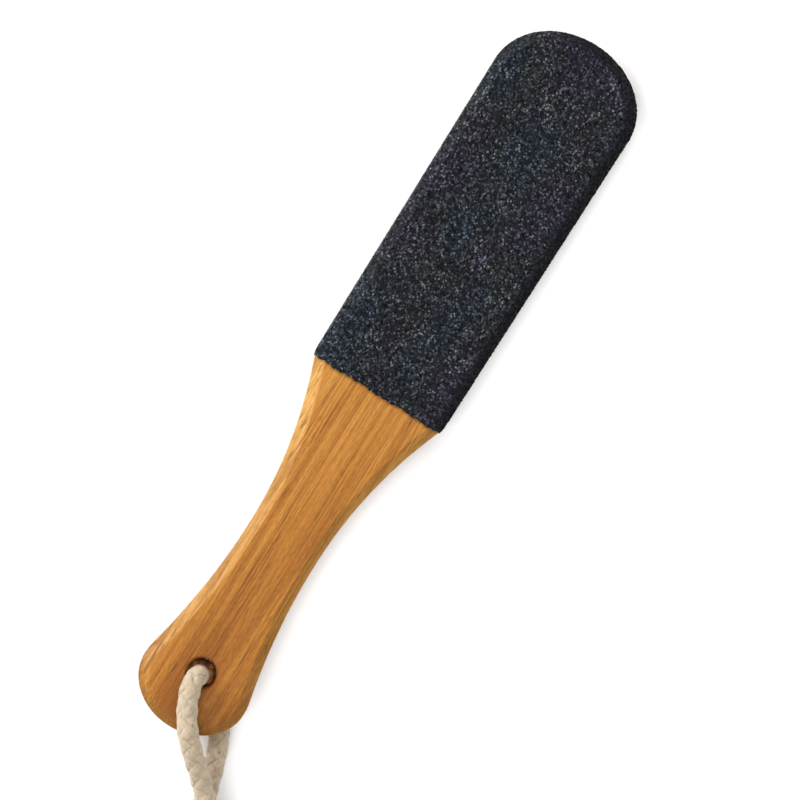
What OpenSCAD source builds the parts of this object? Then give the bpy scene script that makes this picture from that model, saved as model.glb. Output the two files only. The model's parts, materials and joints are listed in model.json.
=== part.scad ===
// Double-sided foot file: a wooden paddle with an abrasive sheet on each face of its head
// and a braided cotton loop through the hole in its butt.
// It lies on a table, on the far edge of its back sheet and on its own cord, so it is
// tilted a little. X runs from the butt to the tip, and Z is up.

/* [Paddle] */
// Length of the wooden paddle, butt to tip
paddle_l = 258; // [220:1:300]
// Thickness of the wood
paddle_t = 9; // [8:0.1:12]
// Width of the head where its round tip starts
head_tip_w = 50; // [44:0.5:58]
// Width of the head at its shoulders
head_heel_w = 48; // [40:0.5:56]
// Width of the handle at its waist
waist_w = 25; // [18:0.5:30]
// Width of the handle at its butt
butt_w = 37.4; // [33:0.2:44]
// Length of the round tip
tip_cap_l = 20.2; // [12:0.2:30]
// Length of the round butt, from its end to its widest place
butt_cap_l = 15.6; // [10:0.2:20]
// Distance from the butt end to the waist
waist_x = 69; // [60:1:80]
// Distance from the butt end to the shoulders
shoulder_x = 128.4; // [115:0.2:140]
// Radius of the swell between the butt and the waist
swell_r = 19.6; // [10:0.2:40]
// Radius of the shoulders
shoulder_r = 8; // [3:0.5:20]
// Width of the bevel round both faces
bevel_w = 3.3; // [1.5:0.1:4]
// Depth of that bevel
bevel_depth = 2.6; // [1:0.1:3.4]

/* [Hanging hole] */
// Diameter of the hole for the cord
hole_d = 10.2; // [9.6:0.1:12]
// Distance from the butt end to the centre of the hole
hole_x = 20; // [18:0.5:24]
// Width of the eased rim of the hole
hole_ease = 0.8; // [0.3:0.1:1.2]

/* [Abrasive sheets] */
// Distance from the butt end to the square heel edge of the sheets
sheet_x = 125.6; // [112:0.2:150]
// Thickness of the adhesive film
adhesive_t = 0.15; // [0.08:0.01:0.4]
// Thickness of the cloth backing
backing_t = 0.35; // [0.2:0.01:0.8]
// Thickness of the coat of grains
grit_t = 0.5; // [0.2:0.05:0.8]

/* [Cord] */
// Diameter of the braided cord
cord_d = 7; // [5:0.1:7.2]
// Clear height between the cord and the wood above it
cord_gap = 0.5; // [0.3:0.05:1]
// Angle in plan between the loop and the handle
loop_angle = 32.2; // [10:0.2:60]
// Diameter of the knot
knot_d = 21; // [18:0.5:26]
// Length of the knot
knot_l = 24; // [18:0.5:30]

/* [Hidden] */

// How many straight steps each curve of the outline has
cap_steps = 16;
swell_steps = 4;
grip_steps = 12;
neck_steps = 16;
shoulder_steps = 3;
// Sides of the cord's tube
cord_sides = 10;
// Overrun of every cut
over = 1;

// Slope of the bevel, and how a sheet on it lies: the bevel's ridge moves in by the first
// share of the sheet's thickness, and the side grows by the second
bevel_angle = atan(bevel_depth / bevel_w);
ridge_share = tan(bevel_angle / 2);
side_share = 1 / cos(bevel_angle);
sheet_t = adhesive_t + backing_t + grit_t;

// A quarter of an ellipse, from its nose at x0 towards its widest place
function cap(x0, length, half_w) = [for (i = [0:cap_steps]) let (a = 90 * i / cap_steps)
    [x0 + length * (1 - cos(a)), half_w * sin(a)]];

// Two arcs that leave the waist along the handle and meet without a corner: a wide hollow
// one, then a round one of radius r that ends along the handle at [length, rise]
function turn(length, rise) = 2 * atan(rise / length);
function from_waist(length, rise, r, hollow_steps, round_steps) =
    let (whole = turn(length, rise), hollow_r = length / sin(whole) - r)
    concat(
        [for (i = [0:hollow_steps]) let (a = whole * i / hollow_steps)
            [hollow_r * sin(a), hollow_r * (1 - cos(a))]],
        [for (i = [round_steps - 1:-1:0]) let (a = whole * i / round_steps)
            [length - r * sin(a), rise - r * (1 - cos(a))]]);

grip_side = [for (p = from_waist(waist_x - butt_cap_l, (butt_w - waist_w) / 2,
                                 swell_r, grip_steps, swell_steps))
    [waist_x - p.x, waist_w / 2 + p.y]];
neck_side = [for (p = from_waist(shoulder_x - waist_x, (head_heel_w - waist_w) / 2,
                                 shoulder_r, neck_steps, shoulder_steps))
    [waist_x + p.x, waist_w / 2 + p.y]];
butt_side = cap(0, butt_cap_l, butt_w / 2);
tip_side = [for (p = cap(0, tip_cap_l, head_tip_w / 2)) [paddle_l - p.x, p.y]];

// The left side from butt to tip, without the points that two stretches share
left_side = concat(
    butt_side,
    [for (i = [len(grip_side) - 2:-1:1]) grip_side[i]],
    neck_side,
    [for (i = [len(tip_side) - 1:-1:0]) tip_side[i]]);
outline = concat(
    [for (p = left_side) [p.x, -p.y]],
    [for (i = [len(left_side) - 2:-1:1]) left_side[i]]);

// The paddle is drawn flat, with its back face at zero, and then laid on the table.
// It touches the table where the flat of its back sheet ends, near the tip.
touch_x = paddle_l - bevel_w + sheet_t * ridge_share;
tilt = atan((cord_d + cord_gap - sheet_t) / (touch_x - hole_x));
middle_x = ((paddle_l - 2 * touch_x) * cos(tilt)
            + (paddle_t + (2 + side_share) * sheet_t) * sin(tilt)) / 2;
hole_place = [
    (hole_x - touch_x) * cos(tilt) + (paddle_t / 2 + sheet_t) * sin(tilt) - middle_x,
    0];

// The cord's two runs, from the middle of the hole to the knot. Each point is the distance
// from the hole along the loop, the distance across it, and the height above the table.
front_route = [
    [-0.4, -0.8, 12], [-0.4, -0.8, 14], [-0.3, -0.9, 15.8], [0.2, -1.4, 17.8],
    [1.3, -2.3, 19.4], [3.1, -3.2, 20.4], [5.4, -3.9, 20.8], [8, -4.4, 20.8],
    [11, -4.7, 20.8], [14, -4.8, 20.8], [17, -4.6, 20.8], [20, -4.2, 20.3],
    [23, -3.5, 19.3], [26, -2.7, 17.9], [29, -1.9, 16.2], [32, -0.9, 14.6],
    [35, 0, 13.2], [38, 0.7, 12.1], [41, 1.4, 11.4], [44, 2.3, 10.9],
    [48, 3.7, 9.7], [52, 5.2, 7.7], [56, 6.8, 5.6], [60, 8.2, 4.2],
    [64, 9.1, 3.6], [68, 9.3, 3.5], [72, 8.8, 3.7], [76, 7.5, 4.4],
    [80, 5.8, 5.8], [84, 4.3, 7.3], [87, 3.8, 8], [90, 3.8, 8]];
back_route = [
    [-0.4, -0.8, 12], [-0.4, -0.8, 10], [-0.3, -0.7, 8.4], [0.2, -0.5, 6.4],
    [1.3, 0, 4.8], [3.1, 0.8, 3.8], [5.4, 1.8, 3.5], [8, 3, 3.5],
    [11, 4.2, 3.5], [14, 5.1, 3.5], [17, 5.6, 3.5], [20, 5.8, 3.5],
    [23, 5.7, 3.5], [26, 5.3, 3.5], [29, 4.7, 3.5], [32, 4, 3.5],
    [35, 3.2, 3.5], [38, 2.4, 3.5], [41, 1.5, 3.5], [44, 0.4, 3.5],
    [48, -1.4, 3.5], [52, -3.3, 3.5], [56, -5.3, 3.5], [60, -7, 3.5],
    [64, -8.3, 3.5], [68, -8.8, 3.5], [72, -8.5, 3.7], [76, -7.3, 4.4],
    [80, -5.7, 5.8], [84, -4.3, 7.3], [87, -3.8, 8], [90, -3.8, 8]];
// The two tails, from the far end of the knot
left_tail = [[0, 3.8, 8], [3, 3.8, 8], [7, 4.6, 6.6], [11, 6.1, 4.8], [15, 8, 3.7], [19, 10, 3.5]];
right_tail = [[0, -3.8, 8], [3, -3.8, 8], [6, -4.2, 6.8], [10, -5.2, 4.6], [13, -6.3, 3.7], [16, -7.5, 3.5]];
knot_start = front_route[len(front_route) - 1].x;
// Past this distance from the hole the loop bends evenly, so its knot is in line with the handle
bend_start = 44;
bend_r = (knot_start - bend_start) / (loop_angle * PI / 180);
function bent(p) = let (a = (p.x - bend_start) / bend_r * 180 / PI, r = bend_r + p.y)
    p.x <= bend_start ? p : [bend_start + r * sin(a), r * cos(a) - bend_r, p.z];
function bent_route(route) = [for (p = route) bent(p)];
// The flat ends of the knot just take in the two runs
knot_end_r = norm([front_route[len(front_route) - 1].y, knot_d / 2 - front_route[len(front_route) - 1].z])
             + cord_d / 2;

// A loop of points moved in by a distance, square to its sides
function unit(v) = v / norm(v);
function side_normal(a, b) = let (d = unit(b - a)) [-d.y, d.x];
function moved_in(loop, by) = let (n = len(loop)) [for (i = [0:n - 1])
    let (before = side_normal(loop[(i + n - 1) % n], loop[i]),
         after = side_normal(loop[i], loop[(i + 1) % n]))
    loop[i] + by * (before + after) / (1 + before * after)];
function ring(inset, z) = [for (p = moved_in(outline, inset)) [p.x, p.y, z]];

// A closed solid through rings of the same even count, with flat ends. Each end is cut
// into strips between the two points that lie across from each other.
module loft(rings) {
    n = len(rings[0]);
    last = len(rings) - 1;
    strips = [for (i = [0:n / 2 - 1])
        i == 0 ? [0, 1, n - 1] : i == n / 2 - 1 ? [i, i + 1, i + 2] : [i, i + 1, n - i - 1, n - i]];
    polyhedron(
        points = [for (r = rings) each r],
        faces = concat(
            strips,
            [for (k = [0:last - 1], i = [0:n - 1]) let (a = k * n, j = (i + 1) % n)
                each [[a + j, a + i, a + n + i], [a + j, a + n + i, a + n + j]]],
            [for (s = strips) [for (i = [len(s) - 1:-1:0]) last * n + s[i]]]),
        convexity = 6);
}

// A tube of the cord's thickness along a route of points
function heading(route, i) =
    unit(route[min(i + 1, len(route) - 1)] - route[max(i - 1, 0)]);
function tube_ring(route, i) =
    let (t = heading(route, i),
         across = unit([0, 1, 0] - t.y * t),
         up = cross(t, across))
    [for (k = [cord_sides - 1:-1:0]) let (a = 360 * k / cord_sides)
        route[i] + cord_d / 2 * (cos(a) * across + sin(a) * up)];
module tube(route) {
    loft([for (i = [0:len(route) - 1]) tube_ring(route, i)]);
}

module laid_on_table() {
    translate([-middle_x, 0, 0])
        rotate([0, tilt, 0])
            translate([-touch_x, 0, sheet_t])
                children();
}

module turned_over() {
    translate([0, 0, paddle_t])
        mirror([0, 0, 1])
            children();
}

module at_the_hole() {
    translate(hole_place)
        rotate([0, 0, 180 + loop_angle])
            children();
}

module at_the_knot() {
    translate(bent([knot_start, 0, 0]))
        rotate([0, 0, -loop_angle])
            children();
}

// A layer of a sheet on the upper face, between two heights over the wood. It follows the
// face and the bevel, and is cut flush with the paddle's side and square at its heel.
module sheet_layer(from_t, to_t) {
    side_z = paddle_t - bevel_depth;
    intersection() {
        loft([
            ring(bevel_w - from_t * ridge_share, paddle_t + from_t),
            ring(0, side_z + from_t * side_share),
            ring(0, side_z + to_t * side_share),
            ring(bevel_w - to_t * ridge_share, paddle_t + to_t)]);
        translate([sheet_x, -head_tip_w, 0])
            cube([paddle_l, 2 * head_tip_w, 2 * paddle_t]);
    }
}

module adhesive() {
    color([0.78, 0.72, 0.56])
        sheet_layer(0, adhesive_t);
}

module backing() {
    color([0.2, 0.16, 0.13])
        sheet_layer(adhesive_t, adhesive_t + backing_t);
}

module grit(shade) {
    color(shade)
        sheet_layer(adhesive_t + backing_t, sheet_t);
}

module wooden_paddle() {
    color([0.79, 0.53, 0.25])
        laid_on_table()
            difference() {
                loft([
                    ring(bevel_w, 0),
                    ring(0, bevel_depth),
                    ring(0, paddle_t - bevel_depth),
                    ring(bevel_w, paddle_t)]);
                translate([hole_x, 0, 0])
                    cord_hole();
            }
}

module cord_hole() {
    translate([0, 0, -over])
        cylinder(h = paddle_t + 2 * over, d = hole_d, $fn = 64);
    eased_rim();
    turned_over() eased_rim();
}

module eased_rim() {
    translate([0, 0, -over])
        cylinder(h = hole_ease + over, r1 = hole_d / 2 + hole_ease + over, r2 = hole_d / 2, $fn = 64);
}

module front_adhesive() { laid_on_table() adhesive(); }
module front_backing() { laid_on_table() backing(); }
module front_grit() { laid_on_table() grit([0.13, 0.13, 0.16]); }
module back_adhesive() { laid_on_table() turned_over() adhesive(); }
module back_backing() { laid_on_table() turned_over() backing(); }
module back_grit() { laid_on_table() turned_over() grit([0.16, 0.16, 0.18]); }

module cord_piece() {
    color([0.9, 0.83, 0.71])
        at_the_hole()
            children();
}

module cord_front_run() { cord_piece() tube(bent_route(front_route)); }
module cord_back_run() { cord_piece() tube(bent_route(back_route)); }

module cord_tails() {
    cord_piece()
        at_the_knot()
            translate([knot_l, 0, 0]) {
                tube(left_tail);
                tube(right_tail);
            }
}

// The knot is a barrel with flat ends, which the runs and the tails meet
module cord_knot() {
    belly = knot_d / 2 - knot_end_r;
    belly_r = (knot_l * knot_l / 4 + belly * belly) / (2 * belly);
    cord_piece()
        at_the_knot()
            translate([knot_l / 2, 0, knot_d / 2])
                rotate([0, 90, 0])
                    rotate_extrude($fn = 48)
                        intersection() {
                            translate([knot_d / 2 - belly_r, 0])
                                circle(r = belly_r, $fn = 180);
                            translate([0, -knot_l / 2])
                                square([knot_d, knot_l]);
                        }
}

wooden_paddle();
front_adhesive();
front_backing();
front_grit();
back_adhesive();
back_backing();
back_grit();
cord_front_run();
cord_back_run();
cord_knot();
cord_tails();
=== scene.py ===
# Looks of a double-sided foot file: a strip-wood paddle, an abrasive sheet on each face
# of its head, coarse in front and fine behind, and a braided cotton loop through the
# hole in its butt.
import json
import math

import bpy
import numpy as np
from mathutils import Matrix, Vector


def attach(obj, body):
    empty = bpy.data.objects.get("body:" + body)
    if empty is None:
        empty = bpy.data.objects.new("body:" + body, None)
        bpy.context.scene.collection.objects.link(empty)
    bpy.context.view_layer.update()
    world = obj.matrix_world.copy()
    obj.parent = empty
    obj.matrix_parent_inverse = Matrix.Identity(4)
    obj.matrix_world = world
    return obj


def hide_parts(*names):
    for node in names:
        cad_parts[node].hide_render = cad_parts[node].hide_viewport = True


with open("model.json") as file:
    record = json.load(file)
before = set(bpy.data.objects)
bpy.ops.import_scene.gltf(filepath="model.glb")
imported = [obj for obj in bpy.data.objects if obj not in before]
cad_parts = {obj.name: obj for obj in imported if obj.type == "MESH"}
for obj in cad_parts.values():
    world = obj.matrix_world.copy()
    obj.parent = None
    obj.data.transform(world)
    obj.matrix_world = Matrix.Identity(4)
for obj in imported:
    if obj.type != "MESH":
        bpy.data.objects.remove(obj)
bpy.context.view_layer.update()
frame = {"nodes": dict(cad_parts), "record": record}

MM = 0.001

# Paddle, as in the CAD
PADDLE_L = 258 * MM
PADDLE_T = 9 * MM
HEAD_TIP_W = 50 * MM
HEAD_HEEL_W = 48 * MM
WAIST_W = 25 * MM
BUTT_W = 37.4 * MM
TIP_CAP_L = 20.2 * MM
BUTT_CAP_L = 15.6 * MM
WAIST_X = 69 * MM
SHOULDER_X = 128.4 * MM
SWELL_R = 19.6 * MM
SHOULDER_R = 8 * MM
BEVEL_W = 3.3 * MM
BEVEL_DEPTH = 2.6 * MM
HOLE_X = 20 * MM

# The hole's wall, which narrows from front to back, and is a little narrower than in the CAD
HOLE_FRONT_R = 4.8 * MM
HOLE_BACK_R = 4.4 * MM

# Abrasive sheets, as in the CAD
SHEET_X = 125.6 * MM
SHEET_T = 1.0 * MM
GRIT_T = 0.5 * MM

# Cord, as in the CAD
CORD_D = 7 * MM
LOOP_ANGLE = math.radians(32.2)
KNOT_D = 21 * MM
KNOT_L = 24 * MM

# How the paddle lies, taken from the frame: its tilt from the front face, and its place
# from the loop's hinge, which is in the middle of the hole
front_normal = next(m["axis"] for m in frame["record"]["mounts"] if m["name"] == "front_file_face")
TILT = math.atan2(front_normal[0], front_normal[2])
hinge = next(j for j in frame["record"]["behaviour"]["joints"] if j["name"] == "loop_swing")
HOLE_PLACE = Vector(hinge["pos_m"])
TILTED = Matrix.Rotation(TILT, 4, "Y")
LAID = Matrix.Translation(HOLE_PLACE) @ TILTED @ Matrix.Translation((-HOLE_X, 0, -PADDLE_T / 2))
TURNED_OVER = Matrix.Translation((0, 0, PADDLE_T)) @ Matrix.Rotation(math.pi, 4, "X")
LOOP = (Matrix.Translation((HOLE_PLACE.x, HOLE_PLACE.y, 0))
        @ Matrix.Rotation(math.pi + LOOP_ANGLE, 4, "Z"))

# The cord's route, as in the CAD: along the loop from the hole, across it, and up
FRONT_ROUTE = [
    (-0.4, -0.8, 12), (-0.4, -0.8, 14), (-0.3, -0.9, 15.8), (0.2, -1.4, 17.8),
    (1.3, -2.3, 19.4), (3.1, -3.2, 20.4), (5.4, -3.9, 20.8), (8, -4.4, 20.8),
    (11, -4.7, 20.8), (14, -4.8, 20.8), (17, -4.6, 20.8), (20, -4.2, 20.3),
    (23, -3.5, 19.3), (26, -2.7, 17.9), (29, -1.9, 16.2), (32, -0.9, 14.6),
    (35, 0, 13.2), (38, 0.7, 12.1), (41, 1.4, 11.4), (44, 2.3, 10.9),
    (48, 3.7, 9.7), (52, 5.2, 7.7), (56, 6.8, 5.6), (60, 8.2, 4.2),
    (64, 9.1, 3.6), (68, 9.3, 3.5), (72, 8.8, 3.7), (76, 7.5, 4.4),
    (80, 5.8, 5.8), (84, 4.3, 7.3), (87, 3.8, 8), (90, 3.8, 8)]
BACK_ROUTE = [
    (-0.4, -0.8, 12), (-0.4, -0.8, 10), (-0.3, -0.7, 8.4), (0.2, -0.5, 6.4),
    (1.3, 0, 4.8), (3.1, 0.8, 3.8), (5.4, 1.8, 3.5), (8, 3, 3.5),
    (11, 4.2, 3.5), (14, 5.1, 3.5), (17, 5.6, 3.5), (20, 5.8, 3.5),
    (23, 5.7, 3.5), (26, 5.3, 3.5), (29, 4.7, 3.5), (32, 4, 3.5),
    (35, 3.2, 3.5), (38, 2.4, 3.5), (41, 1.5, 3.5), (44, 0.4, 3.5),
    (48, -1.4, 3.5), (52, -3.3, 3.5), (56, -5.3, 3.5), (60, -7, 3.5),
    (64, -8.3, 3.5), (68, -8.8, 3.5), (72, -8.5, 3.7), (76, -7.3, 4.4),
    (80, -5.7, 5.8), (84, -4.3, 7.3), (87, -3.8, 8), (90, -3.8, 8)]
# The two tails, from the far end of the knot
LEFT_TAIL = [(0, 3.8, 8), (3, 3.8, 8), (7, 4.6, 6.6), (11, 6.1, 4.8), (15, 8, 3.7), (19, 10, 3.5)]
RIGHT_TAIL = [(0, -3.8, 8), (3, -3.8, 8), (6, -4.2, 6.8), (10, -5.2, 4.6), (13, -6.3, 3.7), (16, -7.5, 3.5)]
# Past this distance from the hole the loop bends evenly, until its knot is parallel to the handle
BEND_START = 44 * MM
KNOT_START = FRONT_ROUTE[-1][0] * MM
BEND_R = (KNOT_START - BEND_START) / LOOP_ANGLE

# The photograph: 800 by 800 pixels. The picture's angle and shift fit both ends of the paddle to it
PHOTO_SIDE = 800
PHOTO_SCALE = 0.3201 * MM
PHOTO_HOLE = (200.5, 673.2)
CAMERA_DISTANCE = 1.6
CAMERA_LEAN = math.radians(4)
PICTURE_ANGLE = math.radians(32.3)
PICTURE_SHIFT = 0.45 * MM
SENSOR_W = 36
VIEW_RANGE = (0.01, 10)


def activate(piece):
    """Selects just this piece, and makes it the active one."""
    bpy.ops.object.select_all(action="DESELECT")
    piece.select_set(True)
    bpy.context.view_layer.objects.active = piece


def settle(piece, place):
    """Puts the piece in its place, and leaves its object at the origin."""
    piece.matrix_world = place @ piece.matrix_world
    activate(piece)
    bpy.ops.object.transform_apply(location=True, rotation=True, scale=True)


def apply_modifier(piece, kind, **settings):
    """Changes the piece's mesh by a modifier with these settings."""
    activate(piece)
    modifier = piece.modifiers.new(kind.title(), kind)
    for name, value in settings.items():
        setattr(modifier, name, value)
    bpy.ops.object.modifier_apply(modifier=modifier.name)


def dress(piece, material):
    """Gives the piece this material all over."""
    piece.data.materials.clear()
    piece.data.materials.append(material)


# Camera
def make_camera():
    """Looks down on the front face from a little to its left, framed as the photograph is."""
    data = bpy.data.cameras.new("photo_camera")
    camera = bpy.data.objects.new("photo_camera", data)
    bpy.context.scene.collection.objects.link(camera)
    data.sensor_fit = "HORIZONTAL"
    data.sensor_width = SENSOR_W
    data.lens = data.sensor_width * CAMERA_DISTANCE / (PHOTO_SIDE * PHOTO_SCALE)
    data.clip_start, data.clip_end = VIEW_RANGE
    lean = Matrix.Rotation(-CAMERA_LEAN, 3, "X")
    right = lean @ Vector((math.sin(PICTURE_ANGLE), -math.cos(PICTURE_ANGLE), 0))
    up = lean @ Vector((math.cos(PICTURE_ANGLE), math.sin(PICTURE_ANGLE), 0))
    back = lean @ Vector((0, 0, 1))
    hole_top = LAID @ Vector((HOLE_X, 0, PADDLE_T))
    centre = (hole_top
              + right * ((PHOTO_SIDE / 2 - PHOTO_HOLE[0]) * PHOTO_SCALE - PICTURE_SHIFT)
              + up * (PHOTO_HOLE[1] - PHOTO_SIDE / 2) * PHOTO_SCALE)
    turn = Matrix((right, up, back)).transposed().to_4x4()
    camera.matrix_world = Matrix.Translation(centre + back * CAMERA_DISTANCE) @ turn
    bpy.context.scene.camera = camera


# Materials. Most of a noise's values are in its usual range
NOISE_RANGE = (0.3, 0.7)


class Nodes:
    """A material's node tree, with short calls to add and join its nodes."""

    def __init__(self, name):
        self.material = bpy.data.materials.new(name)
        self.material.use_nodes = True
        self.tree = self.material.node_tree
        self.shader = self.tree.nodes["Principled BSDF"]

    def add(self, kind, inputs, **settings):
        """A new node of this kind, with its settings made and its inputs plugged."""
        node = self.tree.nodes.new("ShaderNode" + kind)
        for name, value in settings.items():
            setattr(node, name, value)
        for name, value in inputs.items():
            self.plug(value, node.inputs[name])
        return node

    def plug(self, value, socket):
        """Joins the value to the socket if it comes from a node, and else sets it there."""
        if isinstance(value, bpy.types.NodeSocket):
            self.tree.links.new(value, socket)
        elif socket.type == "RGBA" and len(value) == 3:
            socket.default_value = (*value, 1)
        else:
            socket.default_value = value

    def finish(self, **values):
        """The material, with these values plugged into its shader."""
        for name, value in values.items():
            self.plug(value, self.shader.inputs[name.replace("_", " ")])
        return self.material

    def math(self, operation, a, b=0.0, c=0.0):
        node = self.add("Math", {}, operation=operation)
        for socket, value in zip(node.inputs, (a, b, c)):
            self.plug(value, socket)
        return node.outputs[0]

    def vector(self, operation, a, b=(0, 0, 0), c=(0, 0, 0)):
        node = self.add("VectorMath", {}, operation=operation)
        for socket, value in zip(node.inputs, (a, b, c)):
            self.plug(value, socket)
        return node.outputs["Value" if operation == "LENGTH" else "Vector"]

    def noise(self, place, size, detail=2.0, roughness=0.5):
        """Noise in grains of this size, which is one length or one for each direction."""
        sizes = size if isinstance(size, tuple) else (size, size, size)
        return self.add("TexNoise", {"Vector": self.vector("DIVIDE", place, sizes), "Scale": 1.0,
                                     "Detail": detail, "Roughness": roughness}).outputs["Fac"]

    def span(self, value, low, high, to_low=0.0, to_high=1.0):
        """The value's place between low and high, as a number between the other two."""
        return self.add("MapRange", {"Value": value, "From Min": low, "From Max": high,
                                     "To Min": to_low, "To Max": to_high}).outputs["Result"]

    def ramp(self, factor, stops):
        node = self.add("ValToRGB", {"Fac": factor})
        elements = node.color_ramp.elements
        while len(elements) < len(stops):
            elements.new(0.5)
        for element, (place, colour) in zip(elements, stops):
            element.position = place
            element.color = (*colour, 1)
        return node.outputs["Color"]

    def mix(self, factor, a, b, blend="MIX"):
        node = self.add("Mix", {}, data_type="RGBA", blend_type=blend)
        for socket, value in zip((node.inputs["Factor"], node.inputs[6], node.inputs[7]), (factor, a, b)):
            self.plug(value, socket)
        return node.outputs[2]

    def tinted(self, share, colour, tint):
        """The colour, multiplied by the tint where share is 1."""
        return self.mix(share, colour, self.mix(1.0, colour, tint, "MULTIPLY"))

    def bump(self, height, distance, **more):
        return self.add("Bump", {"Height": height, "Strength": 1.0, "Distance": distance,
                                 **more}).outputs["Normal"]

    def in_paddle(self, lay):
        """Object coordinates turned so that X runs from the butt to the tip, and Z square to the face."""
        back = lay.inverted()
        return self.add("Mapping", {
            "Vector": self.add("TexCoord", {}).outputs["Object"],
            "Location": back.to_translation(), "Rotation": back.to_euler()}).outputs["Vector"]


# Wood: the sizes of its markings along the grain, across it, and through the thickness
STRIP_W = 6.4 * MM
STRIP_OFFSET = 0.6 * STRIP_W
WANDER = 1.2 * MM
WANDER_SIZE = (90 * MM, 12 * MM, 12 * MM)
BROAD_SIZE = (90 * MM, 4.5 * MM, 6 * MM)
STREAK_SIZE = (60 * MM, 0.8 * MM, 1.4 * MM)
VEIN_SIZE = (80 * MM, 1.1 * MM, 5 * MM)
VEIN_HALF_W = 0.026
VEIN_PATCH_SIZE = (28 * MM, 4 * MM, 4 * MM)
PORE_SIZE = (4 * MM, 0.3 * MM, 0.4 * MM)
MOTTLE_SIZE = (2.2 * MM, 0.4 * MM, 0.7 * MM)
# The noise at which a patch of veins or a pore starts to show, and at which it shows in full
VEIN_PATCH = (0.36, 0.56)
PORE = (0.6, 0.74)
# How much each marking adds to the wood's shade, and how that grows from the butt to the head
STREAK_SHARE = 0.85
BROAD_SHARE = 0.75
TONE_SHARE = 0.14
MOTTLE_SHARE = 0.5
SHADE_DROP = 0.35
MOTTLE_DROP = 0.3
BUTT_TO_HEAD = (10 * MM, 126 * MM)
BUTT_TO_HEAD_SHADE = (-0.2, 0.17)
WOOD_SHADES = [(0.2, (0.215, 0.069, 0.007)), (0.5, (0.350, 0.138, 0.018)), (0.8, (0.470, 0.213, 0.042))]
DARK_LINE = (0.110, 0.032, 0.004)
PORE_SHARE = 0.45
VEIN_SHARE = 0.9
WOOD_ROUGHNESS = (0.55, 0.45)
WOOD_RELIEF = 0.05 * MM
# Wood below the faces is paler and bluer: sanded wood with a painted sheen. The hole's rim has painted
# shade
BEVEL_SHEEN_TINT = (1.05, 1.25, 1.52)
BEVEL_SHEEN_DEPTH = (0.1 * MM, 0.5 * MM)
RIM_SHADE_TINT = (0.82, 0.6, 0.42)
RIM_SHADE_R = (5.0 * MM, 6.0 * MM)


def wood_shade(n, place, across):
    """The wood's streaks, and its shade before the change from butt to head."""
    strip = n.math("FLOOR", n.math("DIVIDE", n.math("ADD", across, STRIP_OFFSET), STRIP_W))
    tone = n.add("TexWhiteNoise", {"W": strip}, noise_dimensions="1D").outputs["Value"]
    broad = n.noise(place, BROAD_SIZE, 2)
    streaks = n.noise(place, STREAK_SIZE, 3, 0.6)
    mottle = n.noise(place, MOTTLE_SIZE, 2)
    shade = n.math("MULTIPLY_ADD", broad, BROAD_SHARE, -SHADE_DROP)
    shade = n.math("MULTIPLY_ADD", streaks, STREAK_SHARE, shade)
    shade = n.math("MULTIPLY_ADD", tone, TONE_SHARE, shade)
    return streaks, n.math("MULTIPLY_ADD", mottle, MOTTLE_SHARE, n.math("SUBTRACT", shade, MOTTLE_DROP))


def dark_lines(n, place):
    """Long veins that come and go in patches, and short fine pores."""
    middle = n.math("ABSOLUTE", n.math("SUBTRACT", n.noise(place, VEIN_SIZE, 1), 0.5))
    veins = n.span(middle, 0.0, VEIN_HALF_W, 1.0, 0.0)
    veins = n.math("MULTIPLY", veins, n.span(n.noise(place, VEIN_PATCH_SIZE, 2), *VEIN_PATCH))
    pores = n.span(n.noise(place, PORE_SIZE, 1), *PORE)
    pores = n.math("MULTIPLY", pores, PORE_SHARE)
    return n.math("MAXIMUM", pores, n.math("MULTIPLY", veins, VEIN_SHARE))


def wood_material():
    """Caramel strip wood: glued strips, long streaks, and fine dark lines along the grain."""
    n = Nodes("caramel_strip_wood")
    straight = n.in_paddle(LAID)
    along, across, up = n.add("SeparateXYZ", {"Vector": straight}).outputs
    wander = n.math("MULTIPLY_ADD", n.noise(straight, WANDER_SIZE), WANDER, -WANDER / 2)
    across = n.math("ADD", across, wander)
    place = n.add("CombineXYZ", {"X": along, "Y": across, "Z": up}).outputs[0]

    streaks, shade = wood_shade(n, place, across)
    shade = n.math("ADD", shade, n.span(along, *BUTT_TO_HEAD, *BUTT_TO_HEAD_SHADE))
    colour = n.ramp(shade, WOOD_SHADES)
    from_middle = n.math("ABSOLUTE", n.math("SUBTRACT", up, PADDLE_T / 2))
    depth = n.math("SUBTRACT", PADDLE_T / 2, from_middle)
    # Painted sheen, with sanded wood: the wood below the faces is paler and bluer
    colour = n.tinted(n.span(depth, *BEVEL_SHEEN_DEPTH), colour, BEVEL_SHEEN_TINT)
    # Painted shade round the hole's rim and down its wall
    from_hole = n.vector("MULTIPLY", n.vector("SUBTRACT", straight, (HOLE_X, 0, 0)), (1, 1, 0))
    rim_shade = n.span(n.vector("LENGTH", from_hole), *RIM_SHADE_R, 1.0, 0.0)
    colour = n.tinted(rim_shade, colour, RIM_SHADE_TINT)
    dark = dark_lines(n, place)
    height = n.math("SUBTRACT", n.math("MULTIPLY", streaks, 0.5), dark)
    return n.finish(
        Base_Color=n.mix(dark, colour, DARK_LINE),
        Roughness=n.span(streaks, *NOISE_RANGE, *WOOD_ROUGHNESS),
        Specular_IOR_Level=0.24,
        Normal=n.bump(height, WOOD_RELIEF))


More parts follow.
